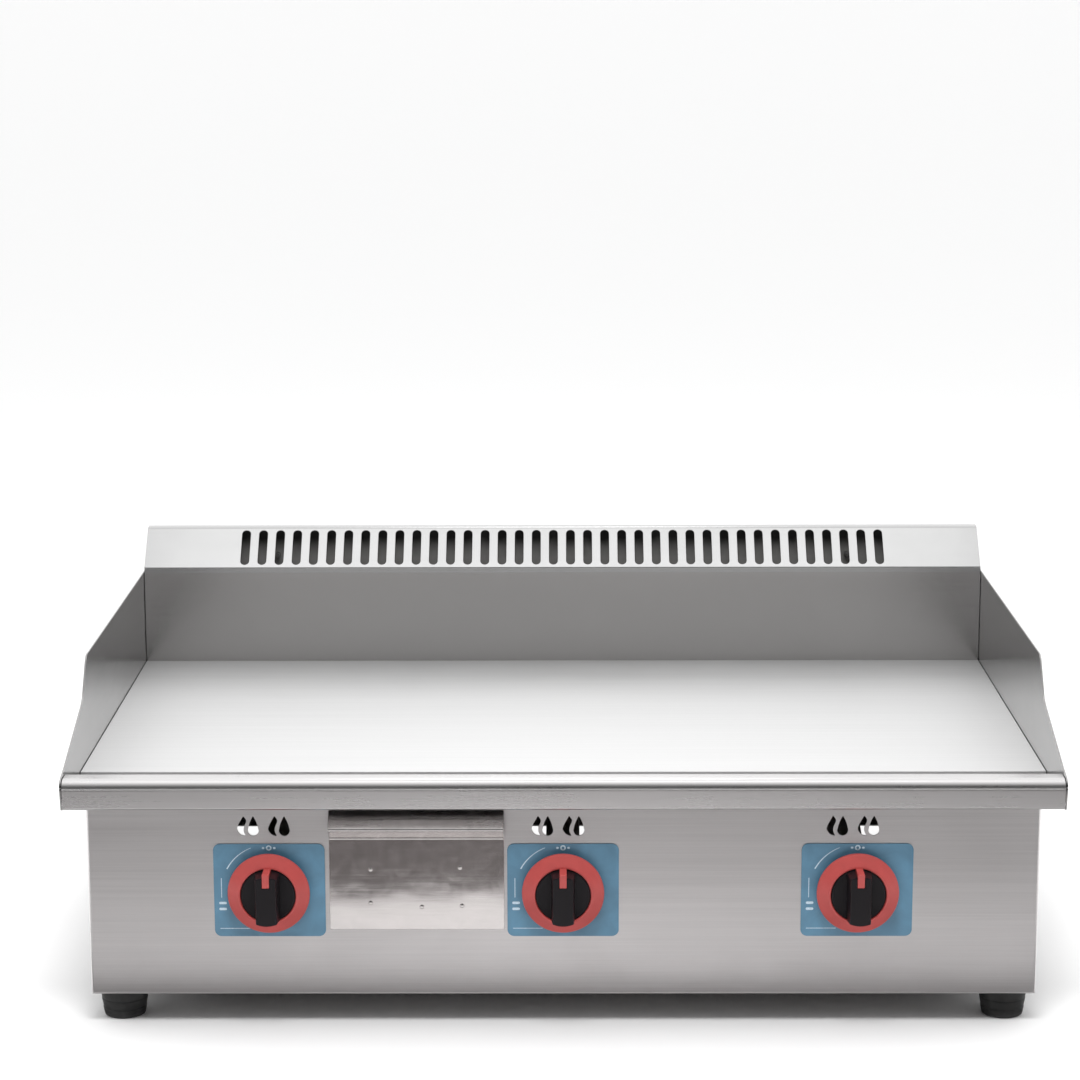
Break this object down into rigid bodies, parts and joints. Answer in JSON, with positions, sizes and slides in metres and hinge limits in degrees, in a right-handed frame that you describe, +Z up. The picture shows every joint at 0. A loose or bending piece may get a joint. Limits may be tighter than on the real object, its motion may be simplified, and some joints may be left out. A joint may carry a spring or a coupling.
{
  "type": "flat top griddle",
  "caption": "Table-top gas griddle with a flat steel plate, side splash guards, slotted rear flue, turning knobs and a pull-out grease drawer.",
  "frame": {"origin": "centre of the overall footprint on the surface that the feet stand on", "axes": "+X to the cook's right, +Y away from the cook towards the flue, +Z up"},
  "size_m": [0.73, 0.5092, 0.2903],
  "materials": {
    "stainless": "brushed stainless sheet",
    "plate_steel": "ground and brushed cooking surface",
    "polished_steel": "mirror-polished stainless sheet",
    "label_blue": "printed blue foil plate",
    "knob_red": "satin red moulding",
    "knob_black": "satin black moulding",
    "rubber_black": "moulded rubber",
    "brass": "machined",
    "pipe_steel": "zinc plated pipe",
    "burner_steel": "heat-darkened tube",
    "ceramic_white": "glazed insulator",
    "lead_silicone": "silicone insulation",
    "screw_steel": "plated"
  },
  "bodies": {
    "griddle": {"backsplash": "stainless", "burner_1": "burner_steel", "burner_2": "burner_steel", "burner_3": "burner_steel", "burner_rail_front": "stainless", "burner_rail_rear": "stainless", "control_label_1": "label_blue", "control_label_2": "label_blue", "control_label_3": "label_blue", "drain_spout": "stainless", "drawer_rail_left": "stainless", "drawer_rail_right": "stainless", "flue_back": "stainless", "flue_cap": "stainless", "flue_screw_left": "screw_steel", "flue_screw_right": "screw_steel", "foot_front_left": "rubber_black", "foot_front_right": "rubber_black", "foot_rear_left": "rubber_black", "foot_rear_right": "rubber_black", "foot_screw_front_left": "screw_steel", "foot_screw_front_right": "screw_steel", "foot_screw_rear_left": "screw_steel", "foot_screw_rear_right": "screw_steel", "front_panel": "stainless", "gas_inlet_fitting": "brass", "gas_manifold": "pipe_steel", "gas_valve_1": "brass", "gas_valve_2": "brass", "gas_valve_3": "brass", "grease_gutter": "stainless", "griddle_plate": "plate_steel", "ignition_electrode_1": "ceramic_white", "ignition_electrode_2": "ceramic_white", "ignition_electrode_3": "ceramic_white", "ignition_lead_1": "lead_silicone", "ignition_lead_2": "lead_silicone", "ignition_lead_3": "lead_silicone", "injector_1": "brass", "injector_2": "brass", "injector_3": "brass", "rear_panel": "stainless", "side_panel_left": "stainless", "side_panel_right": "stainless", "splash_guard_left": "stainless", "splash_guard_right": "stainless"},
    "drawer": {"drawer_front": "polished_steel", "drawer_tray": "stainless"},
    "knob_1": {"knob_grip_1": "knob_black", "knob_skirt_1": "knob_red", "valve_stem_1": "screw_steel"},
    "knob_2": {"knob_grip_2": "knob_black", "knob_skirt_2": "knob_red", "valve_stem_2": "screw_steel"},
    "knob_3": {"knob_grip_3": "knob_black", "knob_skirt_3": "knob_red", "valve_stem_3": "screw_steel"},
    "valve_plug_1": {"valve_plug_1": "brass"},
    "valve_plug_2": {"valve_plug_2": "brass"},
    "valve_plug_3": {"valve_plug_3": "brass"}
  },
  "joints": [
    {"name": "knob_turn_1", "type": "hinge", "parent": "griddle", "child": "valve_plug_1", "pos_m": [-0.216, -0.22535, 0.104], "axis": [0, -1, 0], "range_deg": [0, 110]},
    {"name": "knob_push_1", "type": "slide", "parent": "valve_plug_1", "child": "knob_1", "axis": [0, 1, 0], "range_m": [0, 0.004], "stiffness_N_per_m": 400, "springref_m": -0.006},
    {"name": "knob_turn_2", "type": "hinge", "parent": "griddle", "child": "valve_plug_2", "pos_m": [0, -0.22535, 0.104], "axis": [0, -1, 0], "range_deg": [0, 110]},
    {"name": "knob_push_2", "type": "slide", "parent": "valve_plug_2", "child": "knob_2", "axis": [0, 1, 0], "range_m": [0, 0.004], "stiffness_N_per_m": 400, "springref_m": -0.006},
    {"name": "knob_turn_3", "type": "hinge", "parent": "griddle", "child": "valve_plug_3", "pos_m": [0.216, -0.22535, 0.104], "axis": [0, -1, 0], "range_deg": [0, 110]},
    {"name": "knob_push_3", "type": "slide", "parent": "valve_plug_3", "child": "knob_3", "axis": [0, 1, 0], "range_m": [0, 0.004], "stiffness_N_per_m": 400, "springref_m": -0.006},
    {"name": "drawer_slide", "type": "slide", "parent": "griddle", "child": "drawer", "axis": [0, -1, 0], "range_m": [0, 0.165]}
  ]
}
